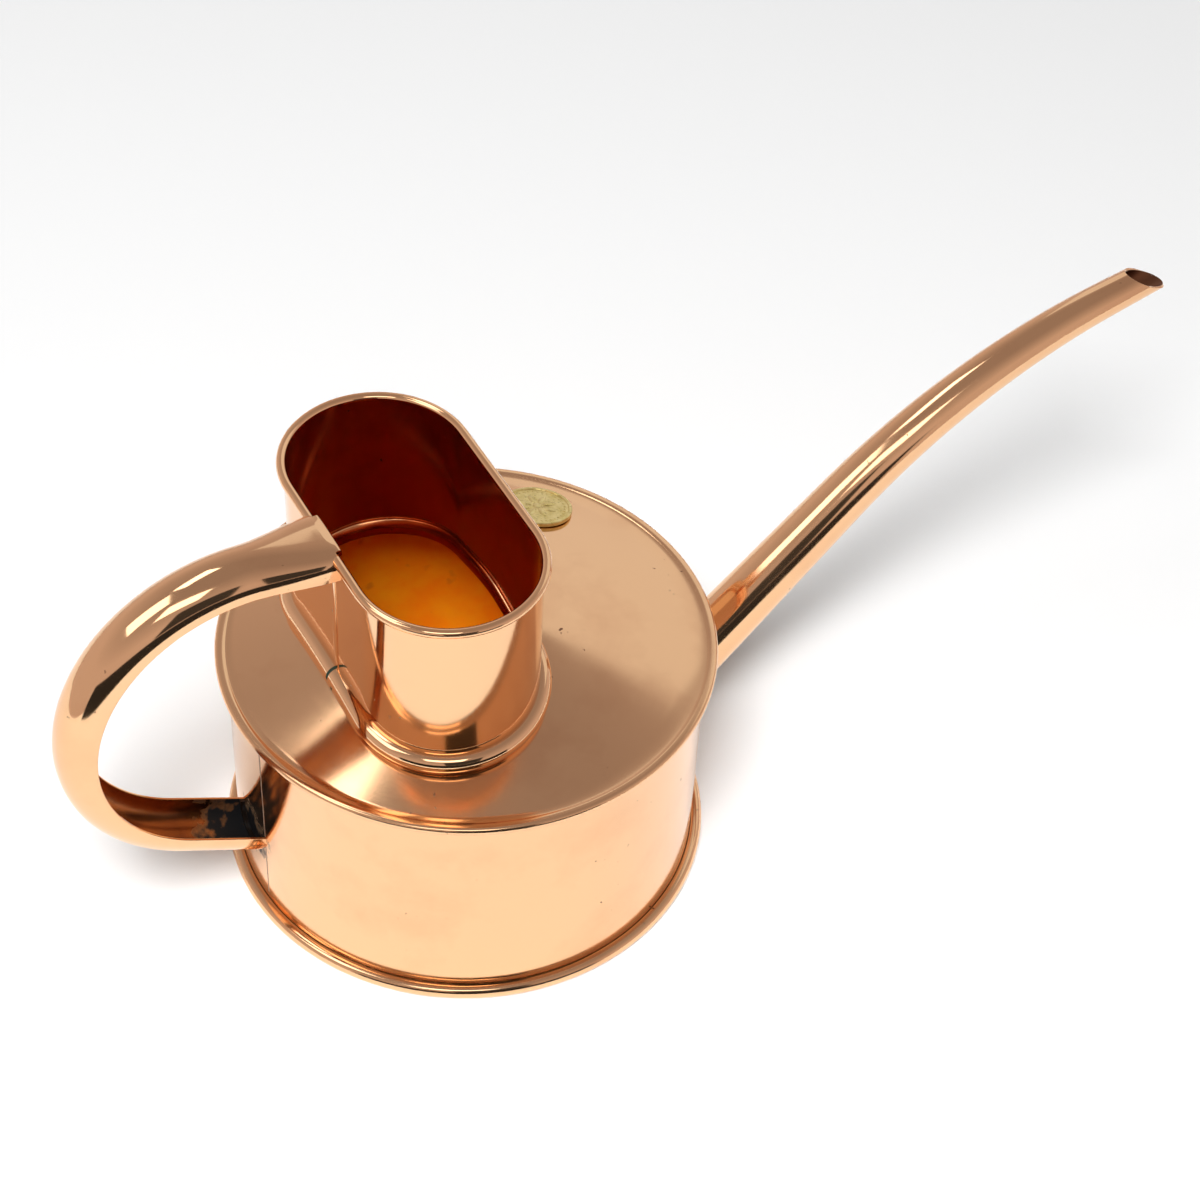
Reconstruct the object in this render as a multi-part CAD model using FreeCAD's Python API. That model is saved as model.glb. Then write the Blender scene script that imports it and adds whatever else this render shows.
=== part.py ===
import FreeCAD, Part
import math
import os

# Copper watering can for indoor plants. Millimetres, +Z up.
# The origin is on the drum's axis, on the plane the can stands on. The spout points along +X and
# the handle along -X. Apart from its seams and badge the can is symmetric about the plane Y = 0.

# sheet metal and solder
sheet = 0.8                 # copper sheet that every shell is made of
seamGap = 0.4               # butt gap that a seam's solder fills
solderLeg = 1.2             # leg of a solder fillet

# drum
drumRadius = 65.0           # outside of the wall
seamHeight = 70.9           # middle of the folded seam that joins wall and shoulder
flangeWidth = 1.8           # how far the wall's top flange stands out
flangeBend = 1.3            # radius of the bend under that flange
footWireRadius = 1.2        # wire inside the rolled foot
footFlatDepth = 0.2         # how much of the foot's underside is planished flat
footCurlOpen = 60.0         # degrees of the foot's curl left open, against the wall
drumSeamInset = 0.94        # from the handle's side in to the seam, so that the seam's top is behind it
baseRise = 3.0              # underside of the base above the standing plane
baseFlangeDrop = 2.0        # depth of the base's turned-down edge

# shoulder
shoulderSlope = 14.0        # degrees
shoulderSink = 0.3          # how far the cone starts below the seam's top
shoulderFlange = 5.0        # height of the turned-up edge inside the neck

# filler neck: an obround whose long side runs along Y
neckCentreX = -16.2
neckEndRadius = 24.2        # outside of the wall at the round ends
neckHalfStraight = 20.8     # half the length of each flat side
neckHeight = 126.1          # middle of the rolled rim
rimWireRadius = 0.5         # wire inside the rolled rim
rimCurlOpen = 60.0          # degrees of the rim's curl left open, against the wall
neckSeamY = -4.5            # the neck's seam, on the flat side under the handle
neckSeamTop = 2.5           # from the rim's middle down to the end of the seam's solder
collarRadius = 3.0          # half-round moulding round the neck's foot
collarLift = 2.6            # the moulding's centre above the shoulder
collarJoint = 1.0           # gap between the moulding's two ends
collarPoints = 72           # points along the moulding's line

# handle: a channel bent from sheet, open towards the can
handleHalfWidth = 8.3
handleDepth = 8.5
handleCorner = 7.9          # outside corner radius, so that the channel is nearly half round
handleBend = 43.1           # bend radius at the channel's open edges
handleTurn = 155.4          # degrees
handleReach = 22.5          # straight from the neck's wall to the bend
handleRise = 2.5            # degrees, slope of that straight
handleDrop = 5.4            # open edges at the neck, below the rim's middle
flapHalfWidth = 10.3        # the handle's top end, spread where it hooks over the rim
flapDepth = 7.8
flapCorner = 4.0
hookDepth = 1.6             # how far the hook reaches down inside the rim
hookGap = 0.05              # clearance between hook and rim

# spout: a tapered tube, straight, bent down a little, straight
spoutHeight = 23.6          # where its axis meets the drum's wall
spoutAngle = 42.9           # degrees above the horizontal at the foot
spoutTipAngle = 12.6        # degrees above the horizontal at the tip
spoutStraight = 74.0
spoutBend = 182.0
spoutTipStraight = 12.8
spoutFootRadius = 8.95      # outside
spoutTipRadius = 4.9        # outside
spoutTipCut = 62.5          # degrees above the horizontal that the mouth faces
spoutStations = 9           # sections along the bend
spoutRunIn = 14.0           # length drawn inside the drum and past the tip, then trimmed off

# badge
badgeRadius = 10.0
badgeThickness = 1.3
badgeRim = 1.1              # width of its raised rim
badgeRelief = 0.3           # depth of the field inside the rim
badgeInset = 14.7           # its middle, in from the drum's wall
badgeAngle = 40.8           # degrees from +X
badgeLift = 0.1             # least thickness of the solder under it
badgeBed = 0.5              # depth of solder drawn, before it is trimmed to the shoulder

# worked out from the above
drumInside = drumRadius - sheet
footRadius = footWireRadius + sheet
footMiddle = drumInside + footRadius
footHeight = footRadius - footFlatDepth
flangeEdge = drumRadius + flangeWidth
flangeUnder = seamHeight - sheet / 2
seamTop = seamHeight + 1.5 * sheet
slopeRise = math.tan(math.radians(shoulderSlope))
shoulderSheet = sheet / math.cos(math.radians(shoulderSlope))
shoulderEdgeHeight = seamTop - shoulderSink
drumSeamAngle = 180 + math.degrees(math.asin((handleHalfWidth - drumSeamInset) / drumRadius))
bendX = drumRadius + flangeBend
bendZ = flangeUnder - flangeBend
riseRadius = flangeBend + 2 * sheet
shoulderEdge = bendX - math.sqrt(riseRadius ** 2 - (shoulderEdgeHeight - bendZ) ** 2)
neckInside = neckEndRadius - sheet
rimRadius = rimWireRadius + sheet
rimMiddle = neckInside + rimRadius
neckWallX = neckCentreX - neckEndRadius
handleEdgeHeight = neckHeight - handleDrop
badgeDistance = drumRadius - badgeInset
cutterSize = 2 * (drumRadius + neckHeight + spoutStraight)  # more than the whole can

origin = FreeCAD.Vector(0, 0, 0)
ey = FreeCAD.Vector(0, 1, 0)
ez = FreeCAD.Vector(0, 0, 1)


def inPlane(x, z):
    return FreeCAD.Vector(x, 0, z)


def heading(degrees):
    angle = math.radians(degrees)
    return inPlane(math.cos(angle), math.sin(angle))


def polygon(points):
    return Part.Face(Part.makePolygon(points + points[:1]))


def rectangle(x0, x1, z0, z1):
    return polygon([inPlane(x0, z0), inPlane(x1, z0), inPlane(x1, z1), inPlane(x0, z1)])


def disc(centre, radius, direction):
    return Part.Face(Part.Wire(Part.makeCircle(radius, centre, direction)))


# A slice of a ring in the XZ plane, between two angles in degrees.
def ringSlice(centre, inner, outer, start, end):
    angles = (start, (start + end) / 2, end)
    outside = Part.Arc(*[centre + heading(a) * outer for a in angles]).toShape()
    inside = Part.Arc(*[centre + heading(a) * inner for a in angles]).toShape()
    sides = [Part.makeLine(centre + heading(a) * inner, centre + heading(a) * outer) for a in (start, end)]
    return Part.Face(Part.Wire(Part.__sortEdges__([outside, inside] + sides)))


def joined(solids):
    return solids[0].multiFuse(solids[1:]).removeSplitter()


# Faces of the XZ plane spun about the drum's axis.
def spun(*faces):
    solids = [face.revolve(origin, ez, 360) for face in faces]
    return joined(solids) if len(solids) > 1 else solids[0]


def pillar(radius, z0, z1, x=0.0, y=0.0):
    return Part.makeCylinder(radius, z1 - z0, FreeCAD.Vector(x, y, z0))


# A block centred on the plane Y = 0, then moved to y.
def block(x0, x1, width, z0, z1, y=0.0):
    return Part.makeBox(x1 - x0, width, z1 - z0, FreeCAD.Vector(x0, y - width / 2, z0))


# ---- shapes that several pieces are trimmed to

def shoulderTop(radius):
    return shoulderEdgeHeight + (shoulderEdge - radius) * slopeRise


# Everything below the shoulder's upper surface, raised by lift.
def underShoulder(lift=0.0):
    reach = drumRadius + spoutRunIn
    return spun(polygon([inPlane(0, 0), inPlane(reach, 0), inPlane(reach, shoulderTop(reach) + lift),
                         inPlane(0, shoulderTop(0) + lift)]))


# A solid with the neck's outline and the given end radius.
def obround(radius, z0, z1):
    left = neckCentreX - radius
    right = neckCentreX + radius
    ends = [pillar(radius, z0, z1, neckCentreX, y) for y in (-neckHalfStraight, neckHalfStraight)]
    return joined([block(left, right, 2 * neckHalfStraight, z0, z1)] + ends)


# A face, drawn from a round end's centre, carried once round the neck's outline.
def roundNeck(face):
    pieces = []
    for side in (-1, 1):
        centre = FreeCAD.Vector(neckCentreX, side * neckHalfStraight, 0)
        end = face.copy()
        end.translate(centre)
        pieces.append(end.revolve(centre, ez, side * 180))
        flat = face.copy()
        flat.rotate(origin, ez, 90 - side * 90)
        flat.translate(FreeCAD.Vector(neckCentreX, -neckHalfStraight, 0))
        pieces.append(flat.extrude(ey * (2 * neckHalfStraight)))
    return joined(pieces)


def neckWall():
    return roundNeck(rectangle(neckInside, neckEndRadius, 0, neckHeight))


# A cutter through the flat side of the neck that faces the handle.
def neckSlot(width, top):
    return block(neckWallX - neckEndRadius / 2, neckWallX + neckEndRadius / 2, width, 0, top, neckSeamY)


def insideDrum():
    return pillar(drumRadius, -drumRadius, seamHeight)


def nearWall():
    return pillar(drumRadius + solderLeg, 0, seamHeight).cut(insideDrum())


# ---- drum

def drumSeamCutter():
    z0 = baseRise + sheet + 2 * solderLeg
    z1 = bendZ - sheet
    cutter = block(drumRadius - 2 * sheet, drumRadius + sheet, seamGap, z0, z1)
    cutter.rotate(origin, ez, drumSeamAngle)
    return cutter


def drumWall():
    wall = rectangle(drumInside, drumRadius, footHeight, bendZ)
    curl = ringSlice(inPlane(footMiddle, footHeight), footWireRadius, footRadius, 180, 540 - footCurlOpen)
    corner = ringSlice(inPlane(bendX, bendZ), flangeBend, flangeBend + sheet, 90, 180)
    flange = rectangle(bendX, flangeEdge, flangeUnder, flangeUnder + sheet)
    ground = block(-cutterSize, cutterSize, cutterSize, -cutterSize, 0)
    shell = spun(wall, curl, corner, flange).cut(ground)
    return shell.cut(spoutRod(-sheet)).cut(drumSeamCutter())


def drumSeamSolder():
    return drumSeamCutter().common(spun(rectangle(drumInside, drumRadius, 0, bendZ)))


def footWire():
    return Part.makeTorus(footMiddle, footWireRadius, FreeCAD.Vector(0, 0, footHeight))


def baseDisc():
    plate = rectangle(0, drumInside, baseRise, baseRise + sheet)
    edge = rectangle(drumInside - sheet, drumInside, baseRise - baseFlangeDrop, baseRise)
    return spun(plate, edge)


def baseSolder():
    z = baseRise + sheet
    return spun(polygon([inPlane(drumInside, z), inPlane(drumInside, z + solderLeg),
                         inPlane(drumInside - solderLeg, z)]))


# ---- shoulder

def shoulder():
    lap = shoulderEdge + sheet / 3
    under = shoulderEdgeHeight - shoulderSheet
    cone = polygon([inPlane(0, shoulderTop(0)), inPlane(0, shoulderTop(0) - shoulderSheet),
                    inPlane(shoulderEdge, under), inPlane(lap, shoulderTop(lap))])
    riseEnd = math.degrees(math.atan2(under - bendZ, shoulderEdge - bendX))
    rise = ringSlice(inPlane(bendX, bendZ), flangeBend + sheet, riseRadius, 90, riseEnd)
    top = rectangle(bendX, flangeEdge, flangeUnder + sheet, seamTop)
    fold = ringSlice(inPlane(flangeEdge, seamHeight), sheet / 2, 1.5 * sheet, -90, 90)
    hem = rectangle(bendX, flangeEdge, flangeUnder - sheet, flangeUnder)
    bore = obround(neckInside - sheet, 0, neckHeight)
    dish = spun(cone, rise, top, fold, hem).cut(bore)
    flange = obround(neckInside, 0, neckHeight).cut(bore)
    flange = flange.common(underShoulder(shoulderFlange)).cut(underShoulder(-shoulderSheet))
    return joined([dish, flange])


# ---- neck

def neckTube():
    curl = ringSlice(inPlane(rimMiddle, neckHeight), rimWireRadius, rimRadius, rimCurlOpen - 180, 180)
    shell = joined([neckWall(), roundNeck(curl)]).cut(underShoulder())
    return shell.cut(neckSlot(seamGap, neckHeight - neckSeamTop))


def neckSeamSolder():
    return neckSlot(seamGap, neckHeight - neckSeamTop).common(neckWall()).cut(underShoulder())


def rimWire():
    return roundNeck(disc(inPlane(rimMiddle, neckHeight), rimWireRadius, ey))


# Points on the neck's wall, a fixed height above the shoulder.
def collarLine():
    straight = 2 * neckHalfStraight
    half = straight + math.pi * neckEndRadius
    points = []
    for i in range(collarPoints):
        along = 2 * half * i / collarPoints
        side = 1 if along < half else -1
        along = along % half
        angle = max(0.0, along - straight) / neckEndRadius
        x = neckCentreX + side * neckEndRadius * math.cos(angle)
        y = side * (min(along, straight) - neckHalfStraight + neckEndRadius * math.sin(angle))
        points.append(FreeCAD.Vector(x, y, shoulderTop(math.hypot(x, y)) + collarLift))
    return points


def collarRing():
    curve = Part.BSplineCurve()
    curve.interpolate(Points=collarLine(), PeriodicFlag=True)
    first = curve.FirstParameter
    pipe = Part.BRepOffsetAPI.MakePipeShell(Part.Wire(curve.toShape()))
    pipe.setBiNormalMode(ez)
    pipe.add(Part.Wire(Part.makeCircle(collarRadius, curve.value(first), curve.tangent(first)[0])))
    pipe.build()
    pipe.makeSolid()
    return pipe.shape().cut(obround(neckEndRadius, 0, neckHeight)).cut(underShoulder())


def neckCollar():
    return collarRing().cut(neckSlot(collarJoint, neckHeight))


def collarSolder():
    return collarRing().common(neckSlot(collarJoint, neckHeight))


# ---- handle

# The channel's section at a point: an open U of the given thickness, its crown towards outward.
def channel(halfWidth, depth, corner, wall, at, outward):
    def place(y, height):
        return at + ey * y + outward * height

    edges = []
    for inset in (0.0, wall):
        reach = halfWidth - corner
        side = halfWidth - inset
        crown = depth - inset
        low = depth - corner
        bulge = (corner - inset) * math.sqrt(0.5)
        for sign in (-1, 1):
            edges.append(Part.makeLine(place(sign * side, 0), place(sign * side, low)))
            edges.append(Part.Arc(place(sign * side, low), place(sign * (reach + bulge), low + bulge),
                                  place(sign * reach, crown)).toShape())
        edges.append(Part.makeLine(place(-reach, crown), place(reach, crown)))
    for sign in (-1, 1):
        edges.append(Part.makeLine(place(sign * halfWidth, 0), place(sign * (halfWidth - wall), 0)))
    return Part.Wire(Part.__sortEdges__(edges))


def outwardOf(along):
    return inPlane(along.z, -along.x)


# Where the handle leaves the neck, where its bend starts and ends, and its direction at each.
def handleStart():
    return inPlane(neckWallX, handleEdgeHeight), heading(180 - handleRise)


def handleBendStart():
    at, along = handleStart()
    return at + along * handleReach, along


def handleBendCentre():
    at, along = handleBendStart()
    return at - outwardOf(along) * handleBend


def handleBendEnd():
    along = handleBendStart()[1]
    turn = FreeCAD.Rotation(ey, -handleTurn)
    return handleBendCentre() + turn.multVec(outwardOf(along)) * handleBend, turn.multVec(along)


# The channel from its bend into the drum, long enough for both its edges and its crown.
def handleFoot(halfWidth, depth, corner, wall):
    at, along = handleBendEnd()
    run = (-drumInside - at.x) / along.x + depth
    return Part.Face(channel(halfWidth, depth, corner, wall, at, outwardOf(along))).extrude(along * run)


def handleHook():
    inside = neckWallX + sheet + hookGap
    top = neckHeight + rimRadius + hookGap
    plate = block(neckWallX - 2 * rimRadius, inside + sheet, 2 * flapHalfWidth - flapCorner, top, top + sheet)
    lip = block(inside, inside + sheet, 2 * flapHalfWidth - flapCorner, top - hookDepth, top)
    return joined([plate, lip])


def neckFilled():
    return joined([neckWall(), roundNeck(disc(inPlane(rimMiddle, neckHeight), rimRadius, ey))])


def handleChannel():
    at, along = handleBendStart()
    bendSection = channel(handleHalfWidth, handleDepth, handleCorner, sheet, at, outwardOf(along))
    bend = Part.Face(bendSection).revolve(handleBendCentre(), -ey, handleTurn)
    neckEnd = handleStart()[0]
    flap = channel(flapHalfWidth, flapDepth, flapCorner, sheet, neckEnd, outwardOf(along))
    spread = Part.makeLoft([bendSection, flap], True, True)
    foot = handleFoot(handleHalfWidth, handleDepth, handleCorner, sheet)
    return joined([spread, bend, foot, handleHook()]).cut(neckFilled()).cut(insideDrum())


# Solder runs along the inside of the channel where it meets the neck and the drum.
def handleTopSolder():
    at, along = handleStart()
    inner = channel(flapHalfWidth - sheet, flapDepth - sheet, flapCorner - sheet, solderLeg, at,
                    outwardOf(along))
    strip = Part.Face(inner).extrude(along * solderLeg)
    return strip.common(block(neckWallX - neckEndRadius, neckWallX, 2 * flapHalfWidth, 0,
                              neckHeight - rimRadius)).cut(handleChannel())


def handleFootSolder():
    fillet = handleFoot(handleHalfWidth - sheet, handleDepth - sheet, handleCorner - sheet, solderLeg)
    return fillet.common(nearWall())


# ---- spout

# Centre, angle in degrees and distance from the drum's wall, for each section along the spout.
def spoutLine():
    foot = inPlane(drumRadius, spoutHeight)
    bendStart = foot + heading(spoutAngle) * spoutStraight
    bendCentre = bendStart - heading(spoutAngle + 90) * spoutBend
    line = [(foot - heading(spoutAngle) * spoutRunIn, spoutAngle, -spoutRunIn)]
    for i in range(spoutStations):
        turn = (spoutAngle - spoutTipAngle) * i / (spoutStations - 1)
        line.append((bendCentre + heading(spoutAngle - turn + 90) * spoutBend, spoutAngle - turn,
                     spoutStraight + math.radians(turn) * spoutBend))
    centre, angle, distance = line[-1]
    run = spoutTipStraight + spoutRunIn
    line.append((centre + heading(angle) * run, angle, distance + run))
    return line


def spoutRadius(distance):
    length = spoutStraight + math.radians(spoutAngle - spoutTipAngle) * spoutBend + spoutTipStraight
    return spoutFootRadius + (spoutTipRadius - spoutFootRadius) * distance / length


# The spout as a solid rod, its radius larger by grow.
def spoutRod(grow):
    circles = []
    for centre, angle, distance in spoutLine():
        circles.append(Part.Wire(Part.makeCircle(spoutRadius(distance) + grow, centre, heading(angle))))
    foot = Part.makeLoft(circles[:2], True, True)
    bend = Part.makeLoft(circles[1:-1], True, False)
    tip = Part.makeLoft(circles[-2:], True, True)
    return foot.fuse([bend, tip])


def pastMouth():
    centre, angle, distance = spoutLine()[-2]
    cutter = block(-cutterSize / 2, cutterSize / 2, cutterSize, 0, cutterSize)
    cutter.rotate(origin, ey, 90 - spoutTipCut)
    cutter.translate(centre + heading(angle) * spoutTipStraight)
    return cutter


def spoutShell():
    return spoutRod(0).cut(spoutRod(-sheet)).cut(pastMouth()).cut(insideDrum())


# A thin upright slab below the spout's axis, where its seam lies.
def spoutSeamSlab():
    axis = [centre for centre, angle, distance in spoutLine()]
    below = [inPlane(axis[-1].x, -drumRadius), inPlane(axis[0].x, -drumRadius)]
    slab = polygon(axis + below).extrude(ey * seamGap)
    slab.translate(ey * (-seamGap / 2))
    return slab


def spoutTube():
    return spoutShell().cut(spoutSeamSlab())


def spoutSeamSolder():
    return spoutShell().common(spoutSeamSlab())


def spoutSolder():
    return spoutRod(solderLeg).cut(spoutRod(0)).common(nearWall())


# ---- badge

# From the badge's own frame, face up at the origin, to its place on the shoulder.
def onShoulder(shape):
    shape.rotate(origin, ey, shoulderSlope)
    shape.translate(inPlane(badgeDistance, shoulderTop(badgeDistance)))
    shape.translate(heading(90 - shoulderSlope) * badgeLift)
    shape.rotate(origin, ez, badgeAngle)
    return shape


def badge():
    field = pillar(badgeRadius - badgeRim, badgeThickness - badgeRelief, badgeThickness)
    return onShoulder(pillar(badgeRadius, 0, badgeThickness).cut(field))


def badgeSolder():
    return onShoulder(pillar(badgeRadius - badgeRim, -badgeBed, 0)).cut(underShoulder())


nodes = {
    "drum_wall": drumWall,
    "drum_seam_solder": drumSeamSolder,
    "foot_wire": footWire,
    "base_disc": baseDisc,
    "base_solder": baseSolder,
    "shoulder": shoulder,
    "neck_tube": neckTube,
    "neck_seam_solder": neckSeamSolder,
    "rim_wire": rimWire,
    "neck_collar": neckCollar,
    "collar_solder": collarSolder,
    "handle_channel": handleChannel,
    "handle_top_solder": handleTopSolder,
    "handle_foot_solder": handleFootSolder,
    "spout_tube": spoutTube,
    "spout_seam_solder": spoutSeamSolder,
    "spout_solder": spoutSolder,
    "badge": badge,
    "badge_solder": badgeSolder,
}

os.makedirs("parts", exist_ok=True)
for name, make in nodes.items():
    shape = make()
    print(f"{name}: {len(shape.Solids)} solid(s), valid {shape.isValid()}, {shape.Volume:.1f} mm3")
    shape.exportStep(f"parts/{name}.step")
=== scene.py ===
import bmesh
import bpy
import math
from mathutils import Matrix, Quaternion, Vector


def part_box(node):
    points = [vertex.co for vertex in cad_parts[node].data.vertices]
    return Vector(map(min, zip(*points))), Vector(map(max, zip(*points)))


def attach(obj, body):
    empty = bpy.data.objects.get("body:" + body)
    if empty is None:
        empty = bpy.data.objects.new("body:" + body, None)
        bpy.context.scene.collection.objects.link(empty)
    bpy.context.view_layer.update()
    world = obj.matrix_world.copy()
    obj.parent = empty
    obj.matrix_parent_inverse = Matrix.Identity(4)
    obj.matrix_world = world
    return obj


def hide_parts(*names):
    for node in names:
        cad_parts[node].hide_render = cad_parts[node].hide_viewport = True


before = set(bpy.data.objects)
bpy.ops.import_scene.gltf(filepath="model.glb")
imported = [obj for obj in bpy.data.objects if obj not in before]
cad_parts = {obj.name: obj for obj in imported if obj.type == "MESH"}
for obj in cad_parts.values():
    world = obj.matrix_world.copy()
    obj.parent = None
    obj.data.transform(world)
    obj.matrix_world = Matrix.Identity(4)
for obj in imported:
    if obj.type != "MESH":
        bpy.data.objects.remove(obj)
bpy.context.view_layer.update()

# The script is drawn in millimetres, and each finished piece is scaled to metres.
mm = 0.001
print("frame loaded,", len(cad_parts), "nodes")


def boxOf(node):
    low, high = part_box(node)
    return low / mm, high / mm


# Sizes of the can, from the frame where a node shows them.
sheet = 0.8
footWireRadius = 1.2
rimWireRadius = 0.5
drumInside = boxOf("base_disc")[1].x
drumRadius = drumInside + sheet
seamHeight = boxOf("shoulder")[0].z + 1.5 * sheet
flangeUnder = seamHeight - sheet / 2
flangeEdge = boxOf("shoulder")[1].x - 1.5 * sheet
seamTop = seamHeight + 1.5 * sheet
footRadius = footWireRadius + sheet
footMiddle = drumInside + footRadius
footHeight = (boxOf("foot_wire")[0].z + boxOf("foot_wire")[1].z) / 2
slope = math.radians(14.0)
flangeBend = 1.3         # radius under the drum's flange
bendX = drumRadius + flangeBend
bendZ = flangeUnder - flangeBend
riseRadius = flangeBend + 2 * sheet
shoulderSink = 0.3       # from the seam's top down to the cone's edge
shoulderEdgeHeight = seamTop - shoulderSink
shoulderEdge = bendX - math.sqrt(riseRadius ** 2 - (shoulderEdgeHeight - bendZ) ** 2)
rimLow, rimHigh = boxOf("rim_wire")
neckX = (rimLow.x + rimHigh.x) / 2
neckHeight = (rimLow.z + rimHigh.z) / 2
rimRadius = rimWireRadius + sheet
rimMiddle = (rimHigh.x - rimLow.x) / 2 - rimWireRadius
neckInside = rimMiddle - rimRadius
neckRadius = neckInside + sheet
neckHalf = rimHigh.y - (rimHigh.x - rimLow.x) / 2
neckWallX = neckX - neckRadius
neckSeamY = -4.5


def coneTop(x, y):
    return shoulderEdgeHeight + (shoulderEdge - math.hypot(x, y)) * math.tan(slope)


# Camera, floor and light.
viewing = {
    "location": (-224.9, -444.4, 596.1),
    "aim": (49.9, 14.9, 50.0),
    "roll": 3.48,          # degrees
    "lens": 80.1,
    "sensor": 36,
    "clip": 0.05,          # metres
}


def makeCamera():
    data = bpy.data.cameras.new("camera")
    data.lens = viewing["lens"]
    data.sensor_width = viewing["sensor"]
    data.clip_start = viewing["clip"]
    data.dof.use_dof = False
    camera = bpy.data.objects.new("camera", data)
    bpy.context.scene.collection.objects.link(camera)
    place = Vector(viewing["location"])
    turn = (Vector(viewing["aim"]) - place).to_track_quat("-Z", "Y")
    camera.rotation_mode = "QUATERNION"
    camera.rotation_quaternion = turn @ Quaternion((0, 0, 1), math.radians(viewing["roll"]))
    camera.location = place * mm
    bpy.context.scene.camera = camera


studio = {
    "paper": (-480, -330, 1500, 1500),   # x0, y0, x1, y1 of the paper that the metal mirrors
    "floorSize": 8000,
    "floorColor": (0.87, 0.87, 0.87),
    "floorGlow": 0.15,
    "floorBelow": 0.05,                  # how far the wide floor lies below the paper
    "backdrop": (0.80, 0.82, 0.83),
    "roomLow": (0.62, 0.53, 0.51),       # what the metal mirrors near the horizon
    "roomHigh": (0.34, 0.29, 0.28),      # and overhead
    "roomFade": (0.25, 0.9),             # where one begins to turn into the other, and ends
}

# Each card: azimuth and elevation in degrees, distance, width, height, strength.
mirroredCards = {
    "window": (174, 50, 760, 330, 330, 2.4),
    "wallRight": (32, 33, 900, 900, 520, 0.80),
    "wallNear": (-122, 50, 900, 420, 240, 2.5),
    "topStrip": (118, 66, 800, 300, 170, 3.0),
    "lowBoard": (-112, 0, 300, 600, 124, 0.03),
    "tallBoard": (-106, 24, 330, 160, 140, 0.05),
}
softPanels = {
    "frontPanel": (-128, 58, 2200, 700, 700, 37),
    "skyPanel": (-100, 80, 2200, 820, 820, 1.5),
    "leftPanel": (165, 55, 2200, 730, 730, 3),
}
cardCentre = 60          # the cards face this height above the floor


def glowMaterial(name, color, strength):
    material = bpy.data.materials.new(name)
    material.use_nodes = True
    tree = material.node_tree
    tree.nodes.clear()
    glow = tree.nodes.new("ShaderNodeEmission")
    glow.inputs["Color"].default_value = (*color, 1)
    glow.inputs["Strength"].default_value = strength
    output = tree.nodes.new("ShaderNodeOutputMaterial")
    tree.links.new(glow.outputs[0], output.inputs["Surface"])
    return material


def newObject(name, bm, materials):
    mesh = bpy.data.meshes.new(name)
    bm.to_mesh(mesh)
    bm.free()
    made = bpy.data.objects.new(name, mesh)
    bpy.context.scene.collection.objects.link(made)
    for material in materials:
        mesh.materials.append(material)
    return made


def stageObject(name, bm, material):
    bmesh.ops.scale(bm, vec=(mm, mm, mm), verts=bm.verts)
    made = newObject(name, bm, [material])
    return made


def flatSheet(name, material, x0, y0, x1, y1, z):
    bm = bmesh.new()
    bmesh.ops.create_grid(bm, x_segments=1, y_segments=1, size=0.5)
    bmesh.ops.scale(bm, vec=(x1 - x0, y1 - y0, 1), verts=bm.verts)
    bmesh.ops.translate(bm, vec=((x0 + x1) / 2, (y0 + y1) / 2, z), verts=bm.verts)
    return stageObject(name, bm, material)


# The can stands on paper. The metal mirrors only that, while the camera sees the floor run on.
def makeFloor():
    material = bpy.data.materials.new("floorPaper")
    material.use_nodes = True
    shader = material.node_tree.nodes["Principled BSDF"]
    shader.inputs["Base Color"].default_value = (*studio["floorColor"], 1)
    shader.inputs["Roughness"].default_value = 0.9
    shader.inputs["Specular IOR Level"].default_value = 0.0
    shader.inputs["Emission Color"].default_value = (1, 1, 1, 1)
    shader.inputs["Emission Strength"].default_value = studio["floorGlow"]
    flatSheet("paper", material, *studio["paper"], 0)
    half = studio["floorSize"] / 2
    floor = flatSheet("floor", material, -half, -half, half, half, -studio["floorBelow"])
    floor.visible_glossy = False
    bm = bmesh.new()
    bmesh.ops.create_uvsphere(bm, u_segments=48, v_segments=24, radius=half)
    backdrop = stageObject("backdrop", bm, glowMaterial("backdropGlow", studio["backdrop"], 1))
    backdrop.visible_glossy = False
    backdrop.visible_diffuse = False
    backdrop.visible_shadow = False


def makeCard(name, azimuth, elevation, distance, width, height, strength):
    a = math.radians(azimuth)
    e = math.radians(elevation)
    away = Vector((math.cos(a) * math.cos(e), math.sin(a) * math.cos(e), math.sin(e)))
    turn = away.to_track_quat("Z", "Y").to_matrix().to_4x4()
    place = Matrix.Translation(away * distance + Vector((0, 0, cardCentre)))
    bm = bmesh.new()
    bmesh.ops.create_grid(bm, x_segments=1, y_segments=1, size=0.5)
    bmesh.ops.scale(bm, vec=(width, height, 1), verts=bm.verts)
    bmesh.ops.transform(bm, matrix=place @ turn, verts=bm.verts)
    card = stageObject(name, bm, glowMaterial(name + "Glow", (1, 1, 1), strength))
    card.visible_camera = False
    return card


# The metal mirrors the cards, and the soft panels light everything dull.
def makeLights():
    for name, size in mirroredCards.items():
        card = makeCard(name, *size)
        card.visible_diffuse = False
        card.visible_shadow = False
    for name, size in softPanels.items():
        makeCard(name, *size).visible_glossy = False


def makeWorld():
    world = bpy.data.worlds.new("room")
    bpy.context.scene.world = world
    world.cycles_visibility.diffuse = False
    world.use_nodes = True
    tree = world.node_tree
    place = tree.nodes.new("ShaderNodeTexCoord")
    split = tree.nodes.new("ShaderNodeSeparateXYZ")
    ramp = tree.nodes.new("ShaderNodeValToRGB")
    for stop, position, color in zip(ramp.color_ramp.elements, studio["roomFade"], ("roomLow", "roomHigh")):
        stop.position = position
        stop.color = (*studio[color], 1)
    tree.links.new(place.outputs["Generated"], split.inputs[0])
    tree.links.new(split.outputs["Z"], ramp.inputs[0])
    tree.links.new(ramp.outputs["Color"], tree.nodes["Background"].inputs["Color"])


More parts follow.
